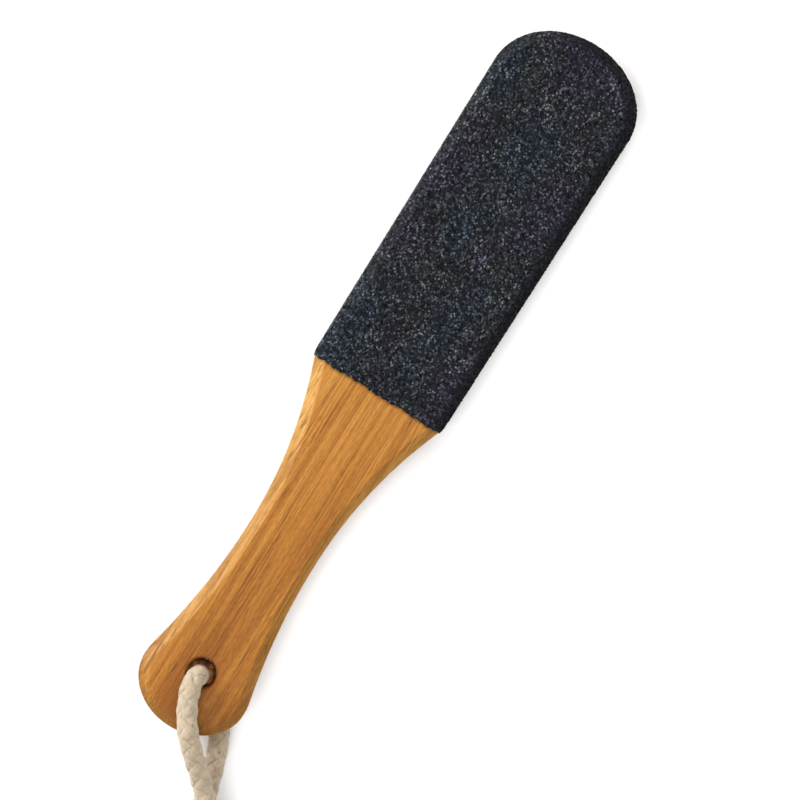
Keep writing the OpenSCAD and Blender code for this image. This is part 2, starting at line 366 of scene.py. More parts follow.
# Grains: their colours from the darkest to the palest, and the casts of colour over them
GRAIN_SHADES = [(0.0, (0.002, 0.002, 0.004)), (0.5, (0.008, 0.009, 0.014)), (0.72, (0.028, 0.030, 0.040)),
                (0.88, (0.066, 0.068, 0.083)), (1.0, (0.16, 0.16, 0.19))]
GRAIN_CASTS = ((0.75, 1.1, 1.0), (1.1, 0.9, 1.15))
GRAIN_CAST_SHARE = 0.5
TEAL_CAST = (0.86, 1.06, 1.08)
OLIVE_CAST = (1.05, 1.04, 0.82)
VIOLET_CAST = (1.05, 0.94, 1.1)
CAST_SIZE = (30 * MM, 18 * MM, 20 * MM)
FROM_TEAL = (0.32, 0.44)
TO_VIOLET = (0.42, 0.56)
PATCH_SIZE = 9 * MM
PATCH_SHADES = (0.86, 1.06)
# The black of the resin between grains, also used for painted shade in the crevices and on the right bevel
RESIN_AND_SHADE_BLACK = (0.002, 0.002, 0.003)
CREVICE_SHADE = (0.3, 0.75)
CREVICE_SHADE_SHARE = 0.7
GRAIN_TILT = 0.4
GRAIN_ROUGHNESS = (0.3, 0.6)
GRAIN_RELIEF = 0.05 * MM
CHIP_SIZE = 0.2 * MM
# Painted shade on the grains: near the rim, as a share of the way out to it, on the right side
SHADED_RIM = (0.79, 0.91)
SHADED_SIDE = (2 * MM, 9 * MM)
BEVEL_SHADE_DIM = 0.3
BEVEL_SHADE_SHARE = 0.9


def right_bevel_shade(n, place):
    """Painted shade on the grains of the right bevel and round the tip, as a share from 0 to 1."""
    along, across, _ = n.add("SeparateXYZ", {"Vector": place}).outputs
    past = n.math("MAXIMUM", n.math("SUBTRACT", along, PADDLE_L - TIP_CAP_L), 0.0)
    outward = n.add("CombineXYZ", {"X": n.math("DIVIDE", past, TIP_CAP_L),
                                   "Y": n.math("DIVIDE", across, HEAD_TIP_W / 2)}).outputs[0]
    return n.math("MULTIPLY", n.span(n.vector("LENGTH", outward), *SHADED_RIM),
                  n.span(across, *SHADED_SIDE, 1.0, 0.0))


def slow_cast(n, place):
    """Broad faint casts over the grains, from teal through olive to violet."""
    slow = n.noise(place, CAST_SIZE, 1)
    return n.mix(n.span(slow, *FROM_TEAL), TEAL_CAST,
                 n.mix(n.span(slow, *TO_VIOLET), OLIVE_CAST, VIOLET_CAST))


def grit_material(name, lay, grain):
    """Mineral grains in resin: each one has its own grey and its own tilt, and a few glint, with painted
    shade in the crevices between them and on the right bevel.
    """
    n = Nodes(name)
    place = n.in_paddle(lay)
    # Painted shade on the right bevel and round the tip: it dims the grains and blackens them
    bevel_shade = right_bevel_shade(n, place)
    cells = n.add("TexVoronoi", {"Vector": place, "Scale": 1 / grain})
    own, gloss, hue = n.add("SeparateColor", {"Color": cells.outputs["Color"]}).outputs
    grey = n.math("MULTIPLY", own, n.span(n.noise(place, PATCH_SIZE, 3), *NOISE_RANGE, *PATCH_SHADES))
    grey = n.math("MULTIPLY", grey, n.math("MULTIPLY_ADD", bevel_shade, -BEVEL_SHADE_DIM, 1.0))
    own_cast = n.mix(hue, *GRAIN_CASTS)
    colour = n.mix(GRAIN_CAST_SHARE, n.ramp(grey, GRAIN_SHADES), own_cast, "MULTIPLY")
    colour = n.mix(1.0, colour, slow_cast(n, place), "MULTIPLY")
    # The crevices between grains: dark resin, with painted shade
    crevice_shade = n.span(cells.outputs["Distance"], *CREVICE_SHADE, 0.0, CREVICE_SHADE_SHARE)
    black = n.math("MAXIMUM", crevice_shade, n.math("MULTIPLY", bevel_shade, BEVEL_SHADE_SHARE))
    tilt = n.vector("MULTIPLY_ADD", cells.outputs["Color"], (2 * GRAIN_TILT,) * 3, (-GRAIN_TILT,) * 3)
    facing = n.vector("NORMALIZE", n.vector("ADD", n.add("NewGeometry", {}).outputs["Normal"], tilt))
    return n.finish(
        Base_Color=n.mix(black, colour, RESIN_AND_SHADE_BLACK),
        Roughness=n.span(gloss, 0.0, 1.0, *GRAIN_ROUGHNESS),
        Specular_IOR_Level=0.1,
        Normal=n.bump(n.noise(place, CHIP_SIZE, 2), GRAIN_RELIEF, Normal=facing))


# Cotton: its fuzz, tufts, blotches and flecks, with their sizes and their shares in its shade
YARNS_AROUND = 9.0
FUZZ_SIZE = 0.28 * MM
FUZZ_SHARE = 0.35
TUFT_SIZE = 1.2 * MM
TUFT_SHARE = 0.35
BLOTCH_SIZE = 5 * MM
BLOTCH_SHARE = 0.3
FLECK_SIZE = (1.3 * MM, 0.9 * MM, 0.9 * MM)
FLECK = (0.64, 0.78)
FLECK_SHARE = 0.6
COTTON_SHADES = [(0.32, (0.35, 0.27, 0.18)), (0.5, (0.44, 0.35, 0.245)), (0.7, (0.50, 0.41, 0.30))]
# Real dark flecks and the painted shade in the hollows share a colour; the cord deep in the hole has a
# brown painted shade
FLECK_AND_SHADE_COLOUR = (0.12, 0.075, 0.04)
HOLLOW_SHADE_SHARE = 0.8
HOLE_SHADE_COLOUR = (0.30, 0.105, 0.016)
# The pit attribute: where the painted shade in the hollows starts and is full, its most outside the hole,
# and where the brown painted shade in the hole is full
HOLLOW_SHADE_PIT = (0.3, 0.65)
DEEPEST_PIT = 0.8
HOLE_SHADE_FULL_PIT = 1.6
# How high its fuzz, tufts and yarns stand, as shares of the relief
FUZZ_HEIGHT = 1.4
TUFT_HEIGHT = 2.4
YARN_HEIGHT = 0.15
COTTON_RELIEF = 0.12 * MM


def cotton_material():
    """Soft undyed cotton: twisted yarns, fuzz and dark flecks, with painted shade in its hollows and a
    brown painted shade where it is deep in the hole.
    """
    n = Nodes("undyed_cotton")
    coordinates = n.add("TexCoord", {}).outputs
    turns, around, _ = n.add("SeparateXYZ", {"Vector": coordinates["UV"]}).outputs
    yarn = n.math("MULTIPLY", n.math("MULTIPLY_ADD", around, YARNS_AROUND, turns), 2 * math.pi)
    place = coordinates["Object"]
    fuzz = n.noise(place, FUZZ_SIZE, 3, 0.65)
    tufts = n.noise(place, TUFT_SIZE, 3)
    shade = n.math("MULTIPLY", n.noise(place, BLOTCH_SIZE, 2), BLOTCH_SHARE)
    shade = n.math("MULTIPLY_ADD", tufts, TUFT_SHARE, shade)
    shade = n.math("MULTIPLY_ADD", fuzz, FUZZ_SHARE, shade)
    pit = n.add("Attribute", {}, attribute_name="pit").outputs["Fac"]
    flecks = n.span(n.noise(place, FLECK_SIZE, 1), *FLECK, 0.0, FLECK_SHARE)
    # Painted shade in the hollows, where the pit is deep, with the real dark flecks
    flecks_and_shade = n.math("MAXIMUM", flecks, n.span(pit, *HOLLOW_SHADE_PIT, 0.0, HOLLOW_SHADE_SHARE))
    colour = n.mix(flecks_and_shade, n.ramp(shade, COTTON_SHADES), FLECK_AND_SHADE_COLOUR)
    height = n.math("MULTIPLY_ADD", fuzz, FUZZ_HEIGHT, n.math("MULTIPLY", tufts, TUFT_HEIGHT))
    height = n.math("MULTIPLY_ADD", n.math("SINE", yarn), YARN_HEIGHT, height)
    return n.finish(
        # Brown painted shade on the cord deep in the hole
        Base_Color=n.mix(n.span(pit, DEEPEST_PIT, HOLE_SHADE_FULL_PIT), colour, HOLE_SHADE_COLOUR),
        Roughness=0.95, Specular_IOR_Level=0.2,
        Sheen_Weight=0.3, Sheen_Roughness=0.6, Sheen_Tint=(0.95, 0.9, 0.8),
        Subsurface_Weight=0.35, Subsurface_Radius=(1.0, 0.8, 0.6), Subsurface_Scale=1.2 * MM,
        Normal=n.bump(height, COTTON_RELIEF))


# The edges of the sheets
FILM_SHADES = [(0.35, (0.12, 0.09, 0.05)), (0.65, (0.3, 0.23, 0.13))]
FILM_DUST_SIZE = 0.8 * MM
FILM_ROUGHNESS = (0.3, 0.6)
CLOTH_SHADES = [(0.2, (0.012, 0.01, 0.01)), (0.9, (0.05, 0.04, 0.035))]
THREAD_STEP = 0.4 * MM
EDGE_RELIEF = 0.05 * MM


def film_material():
    """The edge of a thin pressure-sensitive adhesive, a little squeezed and dusty."""
    n = Nodes("adhesive_film")
    dust = n.noise(n.add("TexCoord", {}).outputs["Object"], FILM_DUST_SIZE, 3)
    return n.finish(
        Base_Color=n.ramp(dust, FILM_SHADES),
        Roughness=n.span(dust, *NOISE_RANGE, *FILM_ROUGHNESS),
        Normal=n.bump(dust, EDGE_RELIEF))


def cloth_material():
    """Resin-filled backing cloth, whose threads show at the cut edge."""
    n = Nodes("backing_cloth")
    threads = n.vector("DIVIDE", n.in_paddle(LAID), (THREAD_STEP, THREAD_STEP, 1.0))
    along, across, _ = n.add("SeparateXYZ", {"Vector": threads}).outputs
    warp, weft = (n.math("SINE", n.math("MULTIPLY", way, 2 * math.pi)) for way in (across, along))
    weave = n.math("MULTIPLY", warp, weft)
    return n.finish(
        Base_Color=n.ramp(n.span(weave, -1, 1), CLOTH_SHADES), Roughness=0.8,
        Normal=n.bump(weave, EDGE_RELIEF))


# Braided cord: the core and the flat strands
BRAID_LAY = 25 * MM
STRANDS_EACH_WAY = 4
STRAND_SIDES = 14
STRAND_W = 3.6 * MM
STRAND_T = 2.0 * MM
WEAVE_DEPTH = 0.28 * MM
BRAID_R = CORD_D / 2 - STRAND_T / 2 - WEAVE_DEPTH
CORE_R = 1.4 * MM
# The core's pit, which gives it a painted shade
CORE_PIT = 0.4
PLIES = 3
PLY_LAY = 7 * MM
PLY_RELIEF = 0.05
RING_STEP = 0.5 * MM
FINE_STEPS = 12
# The unevenness of a soft cord: the length and start of its waves, and how far they turn and lift a strand
WOBBLE_WAVES = ((3.7 * MM, 2.1), (8.9 * MM, 4.3))
WOBBLE_TURN = 0.06
WOBBLE_LIFT = 0.08 * MM
# The pit, which sets the painted shade in the cord's hollows, is 1 at this share of the cord's radius, and
# falls to 0 over the next share outwards
PIT_SHARE = 0.55
PIT_FADE_SHARE = 0.4
# In the hole: the gap to its wall, and how the back run swells there and where that fades
HOLE_GAP = 0.16 * MM
HOLE_SWELL = 0.36
HOLE_SWELL_L = (4.5 * MM, 8.5 * MM)
# The cord's painted shade in the hole: it starts this far above the front face, and has its full pit this
# far below it
HOLE_SHADE_ABOVE = 1 * MM
HOLE_SHADE_BELOW = 2 * MM
HOLE_SHADE_PIT = 2.0
# Loose fibres: how far up and over their middle and their tip are, as shares of their reach
FIBRES_EACH_RING = 6
FIBRE_R = 0.03 * MM
FIBRE_TAPER = 0.8
FIBRE_ROOT = 0.1 * MM
FIBRE_REACH = (0.25 * MM, 0.65 * MM)
FIBRE_MIDDLE = (0.5, 0.4)
FIBRE_TIP = (0.8, 1.3)
FIBRE_FACES = [(2, 1, 0), (0, 1, 4, 3), (1, 2, 5, 4), (2, 0, 3, 5), (3, 4, 6), (4, 5, 6), (5, 3, 6)]
# They stand past this share of the cord's radius, and not under the butt, this near to the hole
OUTER_SHARE = 0.9
UNDER_BUTT_R = 24 * MM


def bent(point):
    """A point of the straight route, once the loop has bent towards the handle's line."""
    along, across, up = (value * MM for value in point)
    if along <= BEND_START:
        return along, across, up
    turn, r = (along - BEND_START) / BEND_R, BEND_R + across
    return BEND_START + r * math.sin(turn), r * math.cos(turn) - BEND_R, up


def even_path(points):
    """Points at even steps on a Catmull-Rom curve through the given points."""
    p = np.array(points)
    p = np.vstack([2 * p[0] - p[1], p, 2 * p[-1] - p[-2]])
    fine = []
    for a, b, c, d in zip(p, p[1:], p[2:], p[3:]):
        for t in np.linspace(0, 1, FINE_STEPS, endpoint=False):
            fine.append(b + 0.5 * ((c - a) * t + (2 * a - 5 * b + 4 * c - d) * t ** 2
                                   + (3 * b - a - 3 * c + d) * t ** 3))
    fine = np.array(fine + [p[-2]])
    along = np.concatenate([[0], np.cumsum(np.linalg.norm(np.diff(fine, axis=0), axis=1))])
    even = np.linspace(0, along[-1], round(along[-1] / RING_STEP) + 1)
    return np.stack([np.interp(even, along, fine[:, k]) for k in range(3)], 1), even


def hole_r(z):
    """The hole's radius at a height above the paddle's back face: it narrows from front to back."""
    return HOLE_BACK_R + (HOLE_FRONT_R - HOLE_BACK_R) * z / PADDLE_T


def squeezed(rings, pit):
    """A strand of which the part in the hole is pressed in by the hole's wall, and given a painted shade
    there.

    It is pressed evenly round the loop's hinge, so that it stays clear of the wall as the loop turns.
    """
    x, y, z = np.moveaxis(rings - np.array(HOLE_PLACE), -1, 0)
    z, r = z + PADDLE_T / 2, np.hypot(x, y)
    near = (z > -HOLE_GAP) & (r < 2 * HOLE_FRONT_R)
    free = np.where(near & (z < PADDLE_T), np.minimum(1, (hole_r(z) - HOLE_GAP) / r), 1)
    pressed = rings + np.stack([(free - 1) * x, (free - 1) * y, 0 * z], -1)
    # Painted shade on the cord in the hole, deeper towards the back
    hole_shade = np.interp(z, (PADDLE_T - HOLE_SHADE_BELOW, PADDLE_T + HOLE_SHADE_ABOVE), (HOLE_SHADE_PIT, 0))
    return pressed, np.maximum(np.clip(pit, 0, DEEPEST_PIT), np.where(near, hole_shade, 0))


def unit_rows(v):
    """Each vector at length 1."""
    return v / np.linalg.norm(v, axis=-1, keepdims=True)


def carried_sides(path):
    """Two unit vectors square to the path at each of its points, carried along it without a twist."""
    tangent = unit_rows(np.gradient(path, axis=0))
    side = np.cross(tangent[0], (0, 1, 0))
    sides = []
    for t in tangent:
        side = unit_rows(side - t * np.dot(side, t))
        sides.append(side)
    sides = np.array(sides)
    return sides, np.cross(tangent, sides)


def wobble(along, seed, size):
    """A small slow unevenness along a soft cord."""
    waves = sum(np.sin(along / length + start * seed) for length, start in WOBBLE_WAVES)
    return size * waves / len(WOBBLE_WAVES)


def strand_rings(path, along, sides, swell, way, number):
    """The rings of one flat strand, which goes over and under the four that wind the other way."""
    side, up = sides
    angle = way * 2 * math.pi * (along / BRAID_LAY) + 2 * math.pi * number / STRANDS_EACH_WAY
    angle = angle + wobble(along, way * (number + 1), WOBBLE_TURN)
    phase = 2 * STRANDS_EACH_WAY * math.pi * along / BRAID_LAY
    lift = wobble(along, way * (number + 5), WOBBLE_LIFT)
    radius = BRAID_R + way * WEAVE_DEPTH * np.cos(phase) + lift
    out = np.cos(angle)[:, None] * side + np.sin(angle)[:, None] * up
    line = path + (swell * radius)[:, None] * out
    run = unit_rows(np.gradient(line, axis=0))
    flat = unit_rows(np.cross(run, out))
    thick = np.cross(flat, run)
    around = np.linspace(0, 2 * math.pi, STRAND_SIDES, endpoint=False)
    twist = around[None, :] - way * 2 * math.pi * along[:, None] / PLY_LAY
    lobe = swell[:, None] * (1 + PLY_RELIEF * np.cos(PLIES * twist))
    rings = (line[:, None]
             + (lobe * STRAND_W / 2 * np.cos(around))[..., None] * flat[:, None]
             + (lobe * STRAND_T / 2 * np.sin(around))[..., None] * thick[:, None])
    depth = np.linalg.norm(rings - path[:, None], axis=2)
    return rings, 1 - (depth - PIT_SHARE * CORD_D / 2) / (PIT_FADE_SHARE * CORD_D / 2)


def core_rings(path, sides, swell):
    """The plain core that the strands are braided round."""
    around = np.linspace(0, 2 * math.pi, STRAND_SIDES, endpoint=False)[None, :, None]
    out = np.cos(around) * sides[0][:, None] + np.sin(around) * sides[1][:, None]
    return path[:, None] + CORE_R * swell[:, None, None] * out, np.full(out.shape[:2], CORE_PIT)


def braid(points, hole_swell):
    """The core and the eight strands of a braided cord along a line of points in the loop's frame."""
    path, along = even_path(points)
    path = np.array([LOOP @ Vector(p) for p in path])
    sides = carried_sides(path)
    swell = 1 + hole_swell * np.interp(along, HOLE_SWELL_L, (1, 0))
    strands = [strand_rings(path, along, sides, swell, way, number)
               for way in (1, -1) for number in range(STRANDS_EACH_WAY)]
    strands = [squeezed(rings, pit) for rings, pit in strands]
    return path, along, strands + [core_rings(path, sides, swell)]


def loose_fibres(rings, path, first, last, seed):
    """Fine fibres that stand off a strand's outer side: seven points each, and the ring of each one."""
    rng = np.random.default_rng(seed)
    count = round((last - first) * FIBRES_EACH_RING)
    at = rng.integers(first, last, count)
    root = rings[at, rng.integers(0, STRAND_SIDES, count)]
    out = root - path[at]
    x, y, z = (path[at] - np.array(HOLE_PLACE)).T
    under_butt = (z < 0) & (np.hypot(x, y) < UNDER_BUTT_R)
    free = (np.linalg.norm(out, axis=1) > OUTER_SHARE * CORD_D / 2) & ~under_butt
    at, root, out = at[free], root[free], unit_rows(out[free])
    lean = unit_rows(np.cross(out, rng.normal(size=out.shape)))
    reach = rng.uniform(*FIBRE_REACH, len(at))[:, None]
    across = np.cross(out, lean)
    over = np.cross(unit_rows(out + lean), across)
    thirds = (0, 2 * math.pi / 3, 4 * math.pi / 3)
    corners = [across * math.cos(a) + over * math.sin(a) for a in thirds]
    foot = root - FIBRE_ROOT * out
    middle, tip = (root + reach * (rise * out + bow * lean) for rise, bow in (FIBRE_MIDDLE, FIBRE_TIP))
    points = [foot + FIBRE_R * c for c in corners] + [middle + FIBRE_TAPER * FIBRE_R * c for c in corners]
    return np.stack(points + [tip], 1), at


class CordMesh:
    """The points, pits, faces and yarn coordinates of a cord's mesh, while it is put together."""

    def __init__(self):
        self.verts, self.pits, self.faces, self.uvs = [], [], [], []

    def add_strand(self, rings, pit, turns):
        """A closed strand, with the turns of its yarns at each of its rings."""
        base, last = len(self.verts), len(rings) - 1
        self.verts.extend(rings.reshape(-1, 3))
        self.pits.extend(pit.ravel())
        for i in range(last):
            u0, u1 = turns[i], turns[i + 1]
            for k in range(STRAND_SIDES):
                a, b = (base + i * STRAND_SIDES + j % STRAND_SIDES for j in (k, k + 1))
                v0, v1 = k / STRAND_SIDES, (k + 1) / STRAND_SIDES
                self.faces.append((a, b, b + STRAND_SIDES, a + STRAND_SIDES))
                self.uvs.extend([(u0, v0), (u0, v1), (u1, v1), (u1, v0)])
        for i, way in ((0, -1), (last, 1)):
            ring = tuple(base + i * STRAND_SIDES + k for k in range(STRAND_SIDES))
            self.faces.append(ring[::way])
            self.uvs.extend([(turns[i], 0.5)] * STRAND_SIDES)

    def add_fibre(self, points, turn):
        """A loose fibre, with the turn of the yarns at its root."""
        base = len(self.verts)
        self.verts.extend(points)
        self.pits.extend([0] * len(points))
        self.faces.extend(tuple(base + k for k in face) for face in FIBRE_FACES)
        self.uvs.extend([(turn, 0.5)] * sum(len(face) for face in FIBRE_FACES))

    def finish(self, name):
        """The piece, no part of it below the table."""
        mesh = bpy.data.meshes.new(name)
        mesh.from_pydata([(x, y, max(z, 0)) for x, y, z in self.verts], [], self.faces)
        mesh.uv_layers.new(name="yarn").data.foreach_set("uv", np.array(self.uvs).ravel())
        mesh.attributes.new("pit", "FLOAT", "POINT").data.foreach_set("value", self.pits)
        mesh.polygons.foreach_set("use_smooth", [True] * len(self.faces))
        piece = bpy.data.objects.new(name, mesh)
        bpy.context.scene.collection.objects.link(piece)
        return piece


def cord_piece(name, stretches):
    """A piece of cord, from (braid, first ring, last ring) of each stretch that it has."""
    made = CordMesh()
    for (path, along, strands), first, last in stretches:
        turns = along / PLY_LAY
        stretch = slice(first, last + 1)
        clear = max(first, round(HOLE_SWELL_L[1] / RING_STEP))
        for number, (rings, pit) in enumerate(strands):
            made.add_strand(rings[stretch], pit[stretch], turns[stretch])
            for points, at in zip(*loose_fibres(rings, path, clear, last, number)):
                made.add_fibre(points, turns[at])
    return made.finish(name)


# Knot: the back run's cord winds round the front run's. Its own lines are in millimetres
COIL_R = (KNOT_D - CORD_D) / 2
COIL_TURNS = 2.685
COIL_STEPS = 60
COIL_INSET = 3 * MM
COIL_FLARE = 8
# The front run's cord in the near half of the knot: along it, across it, and up from its middle
CORE_BEND = [(3.5, 2.3, -1.2), (7, 0.5, -0.2)]


def knot_place():
    """From the knot's near end, along it and across it, to the loop's frame."""
    x, y, _ = bent((KNOT_START / MM, 0, 0))
    return Matrix.Translation((x, y, 0)) @ Matrix.Rotation(-LOOP_ANGLE, 4, "Z")


def in_knot(points):
    """Points in the loop's frame, from millimetres along the knot, across it, and up."""
    return [tuple(knot_place() @ (Vector(p) * MM)) for p in points]


def core_line():
    """The front run's cord, straight through the knot to the right tail."""
    length, middle = KNOT_L / MM, KNOT_D / MM / 2
    half = [(x, y, middle + z) for x, y, z in CORE_BEND]
    points = half + [(length / 2, 0, middle)]
    points += [(length - x, -y, z) for x, y, z in half[::-1]]
    return in_knot(points + [(length + x, y, z) for x, y, z in RIGHT_TAIL])


def coil_line():
    """The back run's cord, wound round the other one, and on to the left tail."""
    length, middle = KNOT_L / MM, KNOT_D / MM / 2
    y, z = BACK_ROUTE[-1][1], BACK_ROUTE[-1][2] - middle
    first, near = math.atan2(z, y), math.hypot(y, z) / (COIL_R / MM)
    points, inset = [], COIL_INSET / MM
    for i in range(COIL_STEPS + 1):
        share = i / COIL_STEPS
        angle = first - 2 * math.pi * COIL_TURNS * share
        r = COIL_R / MM * min(1, near + COIL_FLARE * share, near + COIL_FLARE * (1 - share))
        along = inset + (length - 2 * inset) * share
        points.append((along, r * math.cos(angle), middle + r * math.sin(angle)))
    return in_knot(points + [(length + x, y, z) for x, y, z in LEFT_TAIL])


# Where the drawn cord leaves the CAD's route, in millimetres: only in the hole and just past it
AT_HOLE_X = 4
SQUASH_FROM_Z = 7.5
SQUASH_SHARE = 0.2
OVER_TOP_Z = 20.8
OVER_SLOPE = 0.2
OVER_MOST = 1


def squashed(points):
    """The back run's line, nearer to the hole's middle where the cord is squashed into the hole."""
    return [(SQUASH_SHARE * x, SQUASH_SHARE * y, z) if x < AT_HOLE_X and z > SQUASH_FROM_Z else (x, y, z)
            for x, y, z in points]


def drawn_over(points):
    """The front run's line, drawn against the hole's rim on the loop's side."""
    return [(x + min(OVER_MOST, OVER_SLOPE * (OVER_TOP_Z - z)), y, z) if x < AT_HOLE_X else (x, y, z)
            for x, y, z in points]


def braided_line(route, knot_line, hole_swell):
    """The braid along a run and through the knot, and the number of its ring where the knot starts."""
    run = [bent(p) for p in route]
    made = braid(run + knot_line, hole_swell)
    knot_start = np.array(LOOP @ Vector(run[-1]))
    return made, int(np.argmin(np.linalg.norm(made[0] - knot_start, axis=1)))


def make_run(name, node, line):
    """A run of the loop, from inside the hole to the knot."""
    (path, along, _), end = line
    run = cord_piece(name, [(line[0], 0, end)])
    path = path[:end + 1]
    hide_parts(node)
    return run


def make_cord():
    """The loop's two runs, and its knot with the two tails."""
    front = braided_line(drawn_over(FRONT_ROUTE), core_line(), 0)
    back = braided_line(squashed(BACK_ROUTE), coil_line(), HOLE_SWELL)
    knot = cord_piece("loop_knot", [(made, end, len(made[0]) - 1) for made, end in (front, back)])
    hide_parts("cord_knot", "cord_tails")
    runs = [make_run("front_cord_run", "cord_front_run", front),
            make_run("back_cord_run", "cord_back_run", back)]
    cotton = cotton_material()
    for piece in (knot, *runs):
        dress(piece, cotton)
        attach(piece, "hang_loop")


# Outline of the paddle, with the steps of its curves
CAP_STEPS = 40
GRIP_STEPS = (30, 10)
NECK_STEPS = (40, 6)


def cap(length, half_w, steps):
    """A quarter of an ellipse, from its nose towards its widest place."""
    angles = [math.pi / 2 * i / steps for i in range(steps + 1)]
    return [(length * (1 - math.cos(a)), half_w * math.sin(a)) for a in angles]


def from_waist(length, rise, r, hollow_steps, round_steps):
    """Two arcs that leave the waist along the handle: a wide hollow one, then a round one."""
    whole = 2 * math.atan(rise / length)
    hollow_r = length / math.sin(whole) - r
    hollow = [whole * i / hollow_steps for i in range(hollow_steps + 1)]
    rounded = [whole * i / round_steps for i in range(round_steps - 1, -1, -1)]
    return ([(hollow_r * math.sin(a), hollow_r * (1 - math.cos(a))) for a in hollow]
            + [(length - r * math.sin(a), rise - r * (1 - math.cos(a))) for a in rounded])


def handle_side():
    """The paddle's side from butt to shoulder, as (distance from the butt end, half width)."""
    grip = [(WAIST_X - x, WAIST_W / 2 + y) for x, y in
            from_waist(WAIST_X - BUTT_CAP_L, (BUTT_W - WAIST_W) / 2, SWELL_R, *GRIP_STEPS)]
    neck = [(WAIST_X + x, WAIST_W / 2 + y) for x, y in
            from_waist(SHOULDER_X - WAIST_X, (HEAD_HEEL_W - WAIST_W) / 2, SHOULDER_R, *NECK_STEPS)]
    return cap(BUTT_CAP_L, BUTT_W / 2, CAP_STEPS) + grip[-2:0:-1] + neck


def tip_side(steps):
    """The head's round tip from its nose to its widest place, as the side above."""
    return [(PADDLE_L - x, y) for x, y in cap(TIP_CAP_L, HEAD_TIP_W / 2, steps)]


# Wooden paddle
BORE_SIDES = 96
RIM_EASE = 1.1 * MM
RIM_SEGMENTS = 6
RIDGE_EASE = 0.3 * MM
RIDGE_SEGMENTS = 3
SMOOTH_ANGLE = math.radians(40)
NORMAL_WEIGHT = 90
# What counts as the same place, and how upright a level face's normal is
NEAR = 0.01 * MM
LEVEL = 0.999


def pick_faces(piece, wanted):
    """Selects just the faces that are wanted, and leaves the piece in edit mode."""
    activate(piece)
    bpy.ops.object.mode_set(mode="EDIT")
    bpy.ops.mesh.select_mode(type="FACE")
    bpy.ops.mesh.select_all(action="DESELECT")
    bpy.ops.object.mode_set(mode="OBJECT")
    for face in piece.data.polygons:
        face.select = wanted(face)
    bpy.ops.object.mode_set(mode="EDIT")


def pick_edges(piece, wanted):
    """Selects just the edges whose two ends are wanted, and leaves the piece in edit mode."""
    activate(piece)
    bpy.ops.object.mode_set(mode="EDIT")
    bpy.ops.mesh.select_mode(type="EDGE")
    bpy.ops.mesh.select_all(action="DESELECT")
    bpy.ops.object.mode_set(mode="OBJECT")
    places = [v.co for v in piece.data.vertices]
    for edge in piece.data.edges:
        edge.select = wanted(*(places[i] for i in edge.vertices))
    bpy.ops.object.mode_set(mode="EDIT")


def paddle_blank():
    """The paddle's outline as a plate between its bevels, with each face drawn in over its bevel."""
    side = handle_side() + tip_side(CAP_STEPS)[::-1]
    outline = [(x, -y) for x, y in side] + side[-2:0:-1]
    bpy.ops.object.select_all(action="DESELECT")
    bpy.ops.mesh.primitive_circle_add(vertices=len(outline), fill_type="NGON")
    paddle = bpy.context.active_object
    paddle.name = paddle.data.name = "paddle_body"
    for vertex, (x, y) in zip(paddle.data.vertices, outline):
        vertex.co = (x, y, BEVEL_DEPTH)
    bpy.ops.object.mode_set(mode="EDIT")
    bpy.ops.mesh.select_all(action="SELECT")
    bpy.ops.mesh.extrude_region_move(
        TRANSFORM_OT_translate={"value": (0, 0, PADDLE_T - 2 * BEVEL_DEPTH)})
    bpy.ops.mesh.select_all(action="SELECT")
    bpy.ops.mesh.normals_make_consistent(inside=False)
    bpy.ops.object.mode_set(mode="OBJECT")
    pick_faces(paddle, lambda face: abs(face.normal.z) > LEVEL)
    bpy.ops.mesh.inset(thickness=BEVEL_W, depth=BEVEL_DEPTH, use_even_offset=True, use_individual=True)
    bpy.ops.object.mode_set(mode="OBJECT")
    return paddle


def make_paddle():
    """The wooden paddle, bevelled, drilled and sanded."""
    paddle = paddle_blank()
    drill_hole(paddle)
    soften_edges(paddle)
    dress(paddle, wood_material())
    settle(paddle, LAID)
    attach(paddle, "paddle")
    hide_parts("wooden_paddle")


def drill_hole(paddle):
    """Cuts the hole with a cone that runs half the paddle's thickness past both faces."""
    bpy.ops.object.select_all(action="DESELECT")
    bpy.ops.mesh.primitive_cone_add(
        vertices=BORE_SIDES, radius1=hole_r(-PADDLE_T / 2), radius2=hole_r(1.5 * PADDLE_T),
        depth=2 * PADDLE_T, location=(HOLE_X, 0, PADDLE_T / 2))
    drill = bpy.context.active_object
    apply_modifier(paddle, "BOOLEAN", operation="DIFFERENCE", object=drill, solver="EXACT")
    bpy.data.objects.remove(drill)


def soften_edges(paddle):
    """Rounds the hole's rims and the ridges of the bevels, as sanding does."""
    def from_hole(v):
        return math.hypot(v.x - HOLE_X, v.y) - hole_r(v.z)

    def on_rim(a, b):
        return abs(a.z - b.z) < NEAR and max(from_hole(a), from_hole(b)) < NEAR

    def on_ridge(a, b):
        return abs(a.z - b.z) < NEAR and min(from_hole(a), from_hole(b)) > 2 * RIM_EASE

    pick_edges(paddle, on_rim)
    bpy.ops.mesh.bevel(offset=RIM_EASE, segments=RIM_SEGMENTS, affect="EDGES")
    bpy.ops.object.mode_set(mode="OBJECT")
    pick_edges(paddle, on_ridge)
    bpy.ops.mesh.bevel(offset=RIDGE_EASE, segments=RIDGE_SEGMENTS, affect="EDGES")
    bpy.ops.object.mode_set(mode="OBJECT")
    activate(paddle)
    bpy.ops.object.shade_smooth_by_angle(angle=SMOOTH_ANGLE)
    apply_modifier(paddle, "WEIGHTED_NORMAL", weight=NORMAL_WEIGHT, keep_sharp=True)


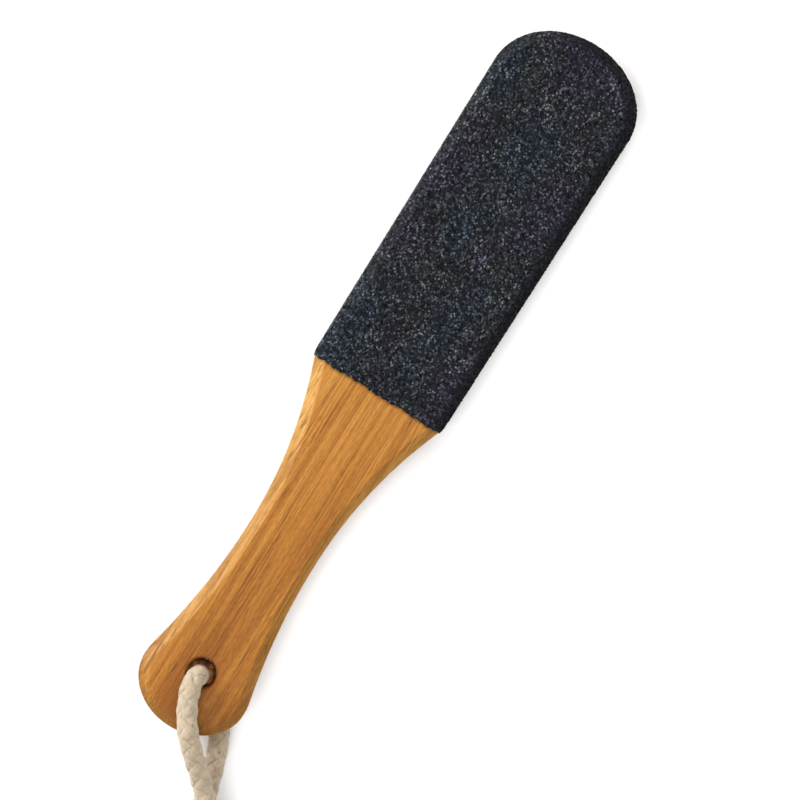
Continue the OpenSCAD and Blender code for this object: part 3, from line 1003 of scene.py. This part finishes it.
# Coats of grains
FRONT_GRAIN = 0.62 * MM
BACK_GRAIN = 0.45 * MM
GRAIN_DEPTH = 0.32 * MM
CHIPS_ACROSS = 3
CHIP_DEPTH = 0.16 * MM
GRID_STEP = 0.32 * MM
FACE_COLUMNS = 140
BEVEL_COLUMNS = 13
TIP_STATIONS = 110
RIM_LIP = 0.2 * MM
# The ragged cut at the heel: its depth, and the length and start of each of its waves
HEEL_RAGGED = 0.5 * MM
HEEL_WAVES = ((1.1 * MM, 0), (0.43 * MM, 1), (2.7 * MM, 2))
# The bevel's slope, and how far in from the paddle's outline the ridge of the sheet over it is
BEVEL_SLOPE = math.atan2(BEVEL_DEPTH, BEVEL_W)
RIDGE_IN = BEVEL_W - SHEET_T * math.tan(BEVEL_SLOPE / 2)


def coat_edges():
    """The coat's outer edge and its ridge at each station from the heel to the tip, on the left side."""
    side = handle_side() + [(PADDLE_L - TIP_CAP_L, HEAD_TIP_W / 2)]
    tip_x = side[-1][0]
    x = np.linspace(SHEET_X, tip_x, round((tip_x - SHEET_X) / GRID_STEP) + 1)
    y = np.interp(x, *np.array(side).T)
    lean = np.gradient(y, x)
    outer = list(zip(x, y + RIM_LIP))
    ridge = list(zip(x, y - RIDGE_IN * np.hypot(1, lean)))
    for px, py in tip_side(TIP_STATIONS)[::-1][1:]:
        out = Vector(((px - tip_x) / TIP_CAP_L ** 2, py / (HEAD_TIP_W / 2) ** 2)).normalized()
        outer.append((px + RIM_LIP * out.x, py + RIM_LIP * out.y))
        ridge.append((px - RIDGE_IN * out.x, max(py - RIDGE_IN * out.y, 0)))
    return np.array(outer), np.array(ridge)


def coat_points():
    """The coat's smooth skin over the face and the bevels, column by column from right to left."""
    top = PADDLE_T + SHEET_T
    rim = PADDLE_T - BEVEL_DEPTH + SHEET_T / math.cos(BEVEL_SLOPE) - RIM_LIP * math.tan(BEVEL_SLOPE)
    outer, ridge = coat_edges()
    shares = np.concatenate([np.linspace(-2, -1, BEVEL_COLUMNS, endpoint=False),
                             np.linspace(-1, 1, FACE_COLUMNS, endpoint=False),
                             np.linspace(1, 2, BEVEL_COLUMNS + 1)])
    columns = []
    for share in shares:
        down, sign = max(abs(share) - 1, 0), math.copysign(1, share)
        edge = ridge * (1 - down) + outer * down
        across = sign * edge[:, 1] if down else share * ridge[:, 1]
        columns.append(np.stack([edge[:, 0], across, np.full(len(edge), top + (rim - top) * down)], 1))
    points = np.array(columns)
    waves = sum(np.sin(points[:, 0, 1] / length + start) for length, start in HEEL_WAVES)
    points[:, 0, 0] -= HEEL_RAGGED * waves / len(HEEL_WAVES) + HEEL_RAGGED / 2
    return points


def make_coat(name, node, lay, grain):
    """A coat of grains on its resin, as a closed shell with a plain underside."""
    points = coat_points()
    columns, stations = points.shape[:2]
    bpy.ops.object.select_all(action="DESELECT")
    bpy.ops.mesh.primitive_grid_add(x_subdivisions=stations - 1, y_subdivisions=columns - 1, size=1)
    coat = bpy.context.active_object
    coat.name = coat.data.name = name
    coat.data.vertices.foreach_set("co", points.ravel())
    skin = coat.vertex_groups.new(name="grains")
    skin.add(list(range(stations * columns)), 1, "REPLACE")
    close_coat(coat)
    roughen(coat, skin, grain)
    dress(coat, grit_material(node + "_grains", lay, grain))
    settle(coat, lay)
    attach(coat, "paddle")
    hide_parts(node)
    return coat


def close_coat(coat):
    """Copies the skin down as its underside, flat in one face, and joins the two round their edge."""
    bpy.ops.object.mode_set(mode="EDIT")
    bpy.ops.mesh.select_mode(type="FACE")
    bpy.ops.mesh.select_all(action="SELECT")
    bpy.ops.mesh.duplicate_move(TRANSFORM_OT_translate={"value": (0, 0, -GRIT_T)})
    bpy.ops.object.vertex_group_remove_from()
    bpy.ops.mesh.flip_normals()
    bpy.ops.object.mode_set(mode="OBJECT")
    under_face = PADDLE_T + SHEET_T - GRIT_T
    pick_faces(coat, lambda face: abs(face.center.z - under_face) < NEAR and abs(face.normal.z) > LEVEL)
    bpy.ops.mesh.dissolve_faces()
    bpy.ops.mesh.select_all(action="SELECT")
    bpy.ops.mesh.region_to_loop()
    bpy.ops.mesh.bridge_edge_loops()
    bpy.ops.mesh.select_all(action="SELECT")
    bpy.ops.mesh.remove_doubles(threshold=NEAR)
    bpy.ops.mesh.normals_make_consistent(inside=False)
    bpy.ops.object.mode_set(mode="OBJECT")


def roughen(coat, skin, grain):
    """Raises the grains on the skin, and chips them."""
    bumps = bpy.data.textures.new(coat.name + "_bumps", "VORONOI")
    bumps.noise_scale = grain
    chips = bpy.data.textures.new(coat.name + "_chips", "CLOUDS")
    chips.noise_scale = grain / CHIPS_ACROSS
    chips.noise_depth = 1
    activate(coat)
    bpy.ops.object.shade_smooth()
    for texture, depth in ((bumps, -GRAIN_DEPTH), (chips, CHIP_DEPTH)):
        apply_modifier(coat, "DISPLACE", texture=texture, texture_coords="LOCAL",
                       strength=depth, mid_level=0.5, vertex_group=skin.name)


def make_sheets():
    """The coats of grains, and the look of the CAD's own adhesive and backing."""
    make_coat("front_grit_coat", "front_grit", LAID, FRONT_GRAIN)
    make_coat("back_grit_coat", "back_grit", LAID @ TURNED_OVER, BACK_GRAIN)
    film, cloth = film_material(), cloth_material()
    for face in ("front", "back"):
        dress(frame["nodes"][face + "_adhesive"], film)
        dress(frame["nodes"][face + "_backing"], cloth)


# Floor and light
FLOOR_SIDE = 6
FLOOR_COLOUR = (0.94, 0.94, 0.94)
ROOM_LIGHT = 0.35
SIDE_BOX = {"watts": 26, "width": 1.2, "height": 0.4, "towards": (0.1, 0.92, 0.43), "distance": 1.5}
END_BOX = {"watts": 22.5, "width": 1.4, "height": 0.8, "distance": 2.0}
END_BOX_PLACES = {"head_box": (0.574, 0, 0.819), "butt_box": (-0.574, 0, 0.819)}


def soft_box(name, watts, width, height, towards, distance):
    """A light that faces the origin."""
    data = bpy.data.lights.new(name, "AREA")
    data.energy = watts
    data.shape = "RECTANGLE"
    data.size = width
    data.size_y = height
    light = bpy.data.objects.new(name, data)
    bpy.context.scene.collection.objects.link(light)
    place = Vector(towards).normalized() * distance
    light.matrix_world = Matrix.Translation(place) @ place.to_track_quat("Z", "Y").to_matrix().to_4x4()


def make_stage():
    """A pale floor, a white room, and three soft boxes."""
    bpy.ops.object.select_all(action="DESELECT")
    bpy.ops.mesh.primitive_plane_add(size=FLOOR_SIDE)
    floor = bpy.context.active_object
    floor.name = floor.data.name = "floor"
    pale = Nodes("pale_floor").finish(Base_Color=FLOOR_COLOUR, Roughness=0.9, Specular_IOR_Level=0.1)
    dress(floor, pale)
    world = bpy.data.worlds.new("soft_room")
    world.use_nodes = True
    background = world.node_tree.nodes["Background"].inputs
    background["Color"].default_value = (1, 1, 1, 1)
    background["Strength"].default_value = ROOM_LIGHT
    bpy.context.scene.world = world
    soft_box("side_box", **SIDE_BOX)
    for name, towards in END_BOX_PLACES.items():
        soft_box(name, towards=towards, **END_BOX)
    bpy.context.scene.view_settings.view_transform = "Standard"


make_camera()
make_cord()
make_paddle()
make_sheets()
make_stage()
